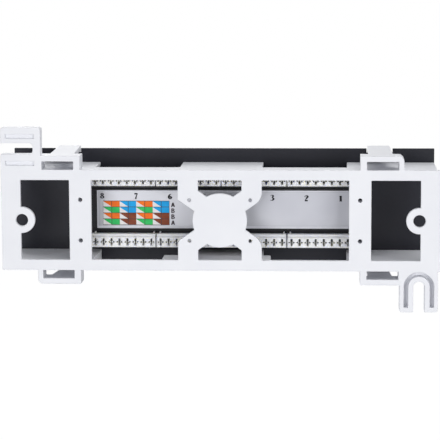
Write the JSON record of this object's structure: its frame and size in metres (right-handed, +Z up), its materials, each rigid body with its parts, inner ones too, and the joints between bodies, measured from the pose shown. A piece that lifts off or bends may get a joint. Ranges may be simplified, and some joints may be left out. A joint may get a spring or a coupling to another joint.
{
  "type": "patch panel",
  "caption": "Wall-mount mini patch panel: white stand-off bracket with snap arms, black sheet panel, jacks in front and punch-down blocks behind.",
  "frame": {"origin": "midway between the two wall screws, in the plane of the wall", "axes": "+X along the panel (towards the picture's left), +Y into the wall, +Z up; the jacks face -Y"},
  "size_m": [0.254, 0.0472, 0.1071],
  "materials": {
    "bracket_plastic": "white, fine satin moulding",
    "black_steel": "black powder coat, satin",
    "black_plastic": "black, satin",
    "block_plastic": "off-white, satin",
    "tinned_metal": "tinned, slightly dull",
    "gold_wire": "gold-plated, bright",
    "board_green": "green solder mask",
    "label_film": "silver-grey film, matt"
  },
  "bodies": {
    "root": {"wall_bracket": "bracket_plastic", "front_panel": "black_steel", "circuit_board": "board_green", "rear_cover": "black_plastic", "label": "label_film", "idc_block_upper_1": "block_plastic", "idc_block_upper_2": "block_plastic", "idc_block_upper_3": "block_plastic", "idc_block_upper_4": "block_plastic", "idc_block_lower_1": "block_plastic", "idc_block_lower_2": "block_plastic", "idc_block_lower_3": "block_plastic", "idc_block_lower_4": "block_plastic", "idc_contacts_upper_1": "tinned_metal", "idc_contacts_upper_2": "tinned_metal", "idc_contacts_upper_3": "tinned_metal", "idc_contacts_upper_4": "tinned_metal", "idc_contacts_lower_1": "tinned_metal", "idc_contacts_lower_2": "tinned_metal", "idc_contacts_lower_3": "tinned_metal", "idc_contacts_lower_4": "tinned_metal", "jack_1": "black_plastic", "jack_2": "black_plastic", "jack_3": "black_plastic", "jack_4": "black_plastic", "jack_5": "black_plastic", "jack_6": "black_plastic", "jack_7": "black_plastic", "jack_8": "black_plastic", "jack_contacts_1": "gold_wire", "jack_contacts_2": "gold_wire", "jack_contacts_3": "gold_wire", "jack_contacts_4": "gold_wire", "jack_contacts_5": "gold_wire", "jack_contacts_6": "gold_wire", "jack_contacts_7": "gold_wire", "jack_contacts_8": "gold_wire"}
  },
  "joints": []
}
